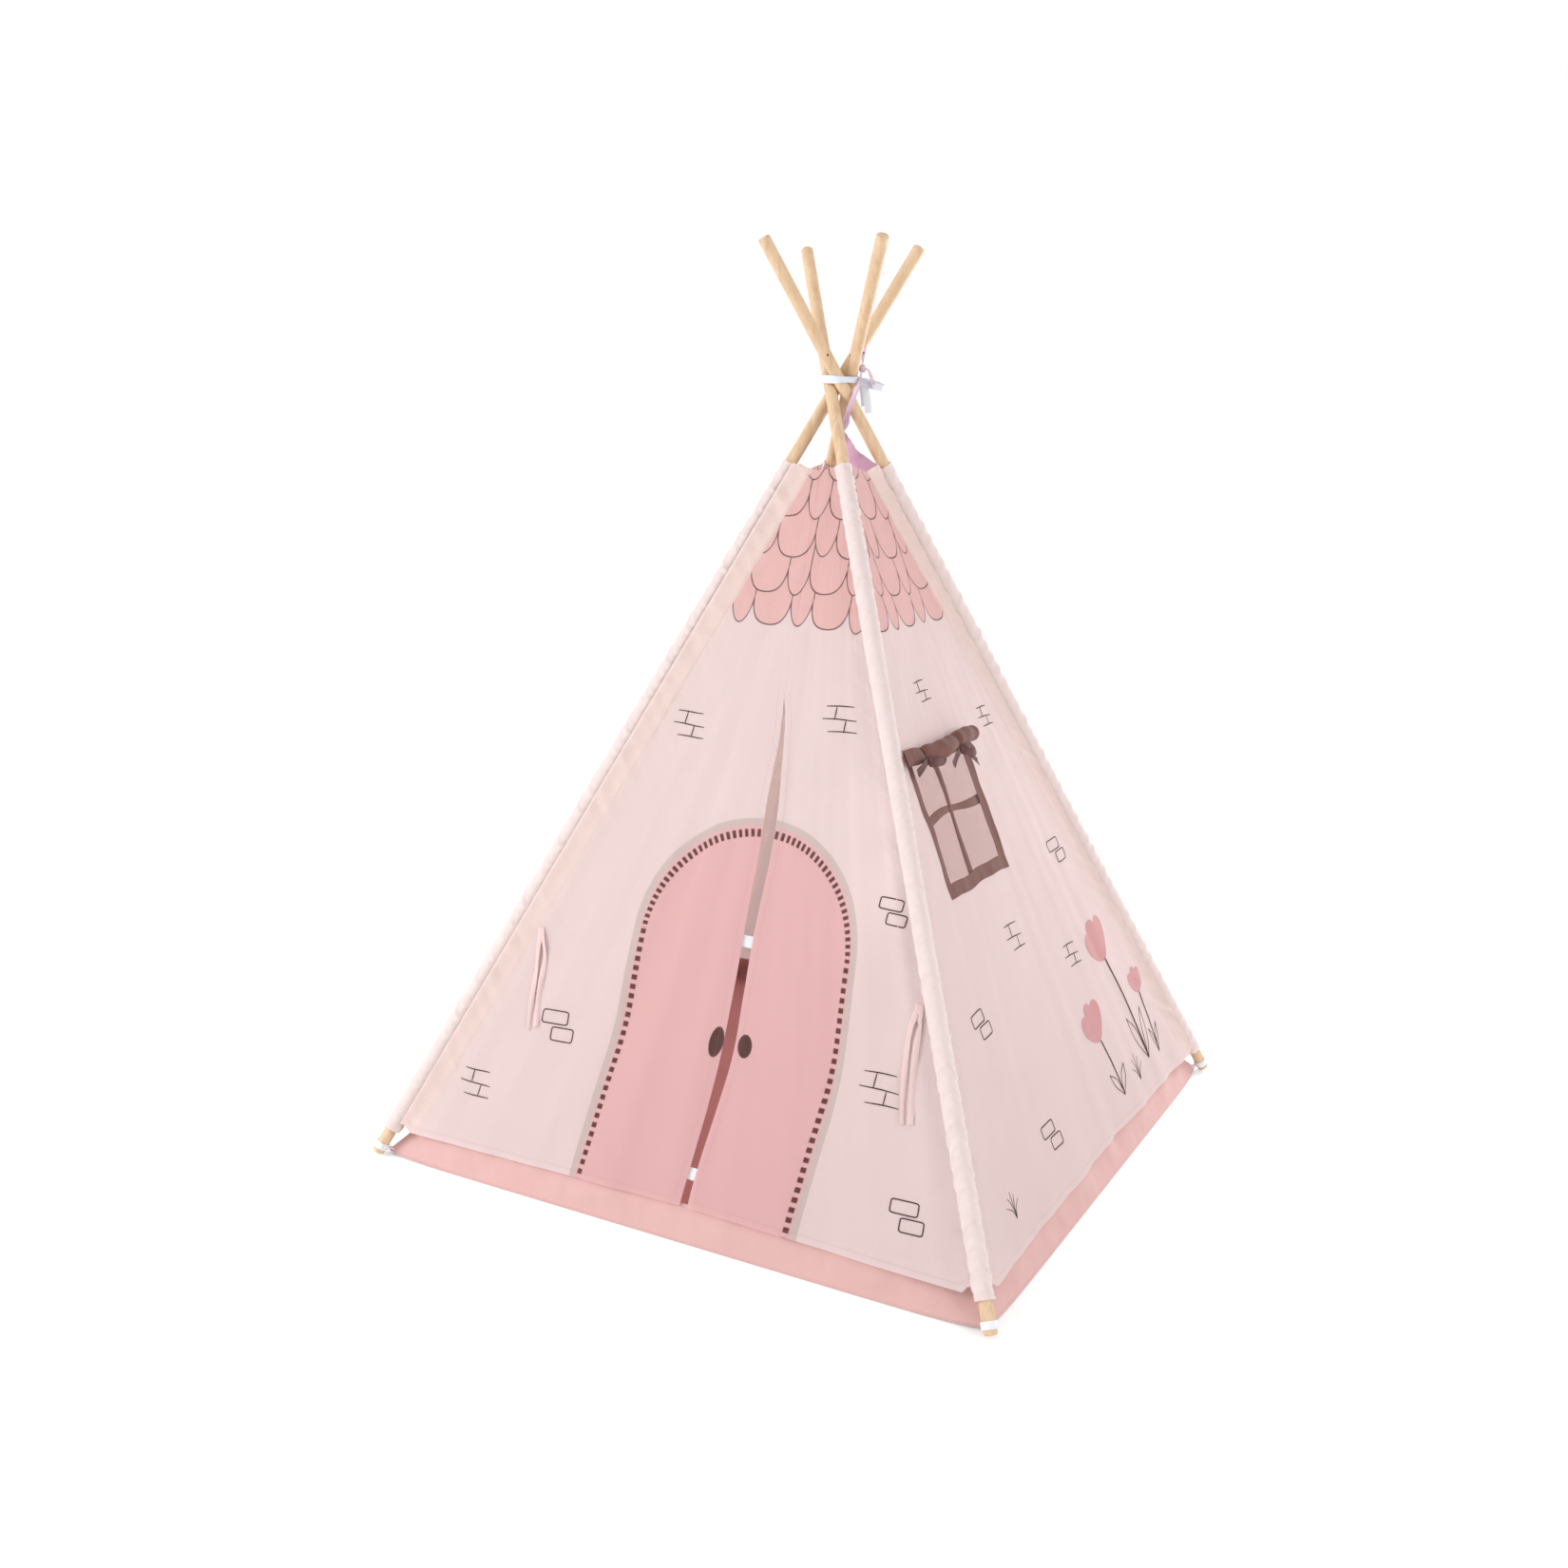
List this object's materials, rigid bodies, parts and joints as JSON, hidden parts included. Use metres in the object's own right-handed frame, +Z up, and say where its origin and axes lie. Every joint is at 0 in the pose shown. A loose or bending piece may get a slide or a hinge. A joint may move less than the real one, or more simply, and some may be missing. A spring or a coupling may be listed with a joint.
{
  "type": "kids teepee",
  "caption": "Children's play teepee: tied wooden poles, a sewn fabric cover with a slit door and a small window, and a floor mat; its poles gather to fold it.",
  "frame": {"origin": "on the floor, at the underside of the mat, straight below the crossing of the poles", "axes": "+Z up; the door wall faces -Y and the window wall +X"},
  "size_m": [1.2136, 1.2136, 1.6288],
  "materials": {
    "pine": "pale pine, plainly turned",
    "steel": "plain steel tube",
    "cover": "pale pink woven cotton",
    "sleeve": "cream-pink woven cotton",
    "door": "salmon-pink printed cotton",
    "mat": "rose-pink padded cotton",
    "window_trim": "mauve-brown cotton",
    "white_tape": "white woven tape",
    "pink_ribbon": "lilac-pink ribbon"
  },
  "bodies": {
    "floor": {"floor_mat": "mat", "foot_loop_front_right": "white_tape", "foot_loop_back_right": "white_tape", "foot_loop_back_left": "white_tape", "foot_loop_front_left": "white_tape"},
    "crossing": {"crossing_ribbon": "white_tape", "cover_strap": "pink_ribbon"},
    "pole_front_right": {"pole_lower_front_right": "pine", "pole_upper_front_right": "pine", "ferrule_front_right": "steel", "sleeve_front_right": "sleeve"},
    "pole_back_right": {"pole_lower_back_right": "pine", "pole_upper_back_right": "pine", "ferrule_back_right": "steel", "sleeve_back_right": "sleeve"},
    "pole_back_left": {"pole_lower_back_left": "pine", "pole_upper_back_left": "pine", "ferrule_back_left": "steel", "sleeve_back_left": "sleeve"},
    "pole_front_left": {"pole_lower_front_left": "pine", "pole_upper_front_left": "pine", "ferrule_front_left": "steel", "sleeve_front_left": "sleeve"},
    "cloth_door_wall_front_left": {"door_wall_front_left": "cover", "tieback_left": "pink_ribbon"},
    "cloth_door_wall_front_right": {"door_wall_front_right": "cover", "tieback_right": "pink_ribbon"},
    "cloth_window_wall_front_right": {"window_wall_front_right": "cover", "window_surround": "window_trim", "window_bar_upright": "window_trim", "window_bar_cross": "window_trim", "window_curtain": "window_trim", "curtain_tie_near": "window_trim", "curtain_tie_far": "window_trim"},
    "cloth_window_wall_back_right": {"window_wall_back_right": "cover"},
    "cloth_back_wall_back_right": {"back_wall_back_right": "cover"},
    "cloth_back_wall_back_left": {"back_wall_back_left": "cover"},
    "cloth_left_wall_back_left": {"left_wall_back_left": "cover"},
    "cloth_left_wall_front_left": {"left_wall_front_left": "cover"},
    "flap_left": {"door_flap_left": "door", "door_tab_upper": "white_tape", "door_tab_lower": "white_tape"},
    "flap_right": {"door_flap_right": "door"}
  },
  "joints": [
    {"name": "crossing_lift", "type": "slide", "parent": "floor", "child": "crossing", "axis": [0, 0, 1], "range_m": [0, 0.35], "deforming": ["floor_mat", "foot_loop_front_right", "foot_loop_back_right", "foot_loop_back_left", "foot_loop_front_left", "crossing_ribbon", "cover_strap", "door_wall_front_left", "tieback_left", "door_wall_front_right", "tieback_right", "window_wall_front_right", "window_surround", "window_bar_upright", "window_bar_cross", "window_curtain", "curtain_tie_near", "curtain_tie_far", "window_wall_back_right", "back_wall_back_right", "back_wall_back_left", "left_wall_back_left", "left_wall_front_left", "door_flap_left", "door_tab_upper", "door_tab_lower", "door_flap_right"]},
    {"name": "gather_front_right", "type": "hinge", "parent": "crossing", "child": "pole_front_right", "pos_m": [0, 0, 1.38], "axis": [0.7071, 0.7071, 0], "range_deg": [0, 23.59]},
    {"name": "gather_back_right", "type": "hinge", "parent": "crossing", "child": "pole_back_right", "pos_m": [0, 0, 1.38], "axis": [-0.7071, 0.7071, 0], "range_deg": [0, 23.59]},
    {"name": "gather_back_left", "type": "hinge", "parent": "crossing", "child": "pole_back_left", "pos_m": [0, 0, 1.38], "axis": [-0.7071, -0.7071, 0], "range_deg": [0, 23.59]},
    {"name": "gather_front_left", "type": "hinge", "parent": "crossing", "child": "pole_front_left", "pos_m": [0, 0, 1.38], "axis": [0.7071, -0.7071, 0], "range_deg": [0, 23.59]},
    {"name": "pleat_door_wall_front_right", "type": "hinge", "parent": "pole_front_right", "child": "cloth_door_wall_front_right", "pos_m": [-0.01232, -0.01232, 1.38], "axis": [-0.378, 0.3627, 0.8518], "range_deg": [0, 89.19]},
    {"name": "pleat_door_wall_front_left", "type": "hinge", "parent": "pole_front_left", "child": "cloth_door_wall_front_left", "pos_m": [-0.01232, 0.01232, 1.38], "axis": [-0.3627, -0.378, -0.8518], "range_deg": [0, 55.27]},
    {"name": "pleat_window_wall_back_right", "type": "hinge", "parent": "pole_back_right", "child": "cloth_window_wall_back_right", "pos_m": [0.01232, -0.01232, 1.38], "axis": [-0.3627, -0.378, 0.8518], "range_deg": [0, 96.26]},
    {"name": "pleat_window_wall_front_right", "type": "hinge", "parent": "pole_front_right", "child": "cloth_window_wall_front_right", "pos_m": [-0.01232, -0.01232, 1.38], "axis": [0.378, -0.3627, -0.8518], "range_deg": [0, 49.45]},
    {"name": "pleat_back_wall_back_left", "type": "hinge", "parent": "pole_back_left", "child": "cloth_back_wall_back_left", "pos_m": [0.01232, 0.01232, 1.38], "axis": [0.378, -0.3627, 0.8518], "range_deg": [0, 70.2]},
    {"name": "pleat_back_wall_back_right", "type": "hinge", "parent": "pole_back_right", "child": "cloth_back_wall_back_right", "pos_m": [0.01232, -0.01232, 1.38], "axis": [0.3627, 0.378, -0.8518], "range_deg": [0, 72.47]},
    {"name": "pleat_left_wall_front_left", "type": "hinge", "parent": "pole_front_left", "child": "cloth_left_wall_front_left", "pos_m": [-0.01232, 0.01232, 1.38], "axis": [0.3627, 0.378, 0.8518], "range_deg": [0, 70.25]},
    {"name": "pleat_left_wall_back_left", "type": "hinge", "parent": "pole_back_left", "child": "cloth_left_wall_back_left", "pos_m": [0.01232, 0.01232, 1.38], "axis": [-0.378, 0.3627, -0.8518], "range_deg": [0, 72.42]},
    {"name": "door_left", "type": "hinge", "parent": "cloth_door_wall_front_left", "child": "flap_left", "pos_m": [0.022, -0.2217, 0.87009], "axis": [-0.2244, -0.3886, -0.8937], "range_deg": [0, 165]},
    {"name": "door_right", "type": "hinge", "parent": "cloth_door_wall_front_right", "child": "flap_right", "pos_m": [0.022, -0.2217, 0.87009], "axis": [-0.2531, 0.3857, 0.8872], "range_deg": [0, 165]}
  ],
  "couplings": [
    {"joint": "gather_front_right", "follows": "crossing_lift", "rad_per_m": 1.1764},
    {"joint": "gather_back_right", "follows": "crossing_lift", "rad_per_m": 1.1764},
    {"joint": "gather_back_left", "follows": "crossing_lift", "rad_per_m": 1.1764},
    {"joint": "gather_front_left", "follows": "crossing_lift", "rad_per_m": 1.1764},
    {"joint": "pleat_door_wall_front_right", "follows": "crossing_lift", "rad_per_m": 4.4476},
    {"joint": "pleat_door_wall_front_left", "follows": "crossing_lift", "rad_per_m": 2.756},
    {"joint": "pleat_window_wall_back_right", "follows": "crossing_lift", "rad_per_m": 4.8001},
    {"joint": "pleat_window_wall_front_right", "follows": "crossing_lift", "rad_per_m": 2.4659},
    {"joint": "pleat_back_wall_back_left", "follows": "crossing_lift", "rad_per_m": 3.5005},
    {"joint": "pleat_back_wall_back_right", "follows": "crossing_lift", "rad_per_m": 3.6136},
    {"joint": "pleat_left_wall_front_left", "follows": "crossing_lift", "rad_per_m": 3.5033},
    {"joint": "pleat_left_wall_back_left", "follows": "crossing_lift", "rad_per_m": 3.6115}
  ]
}
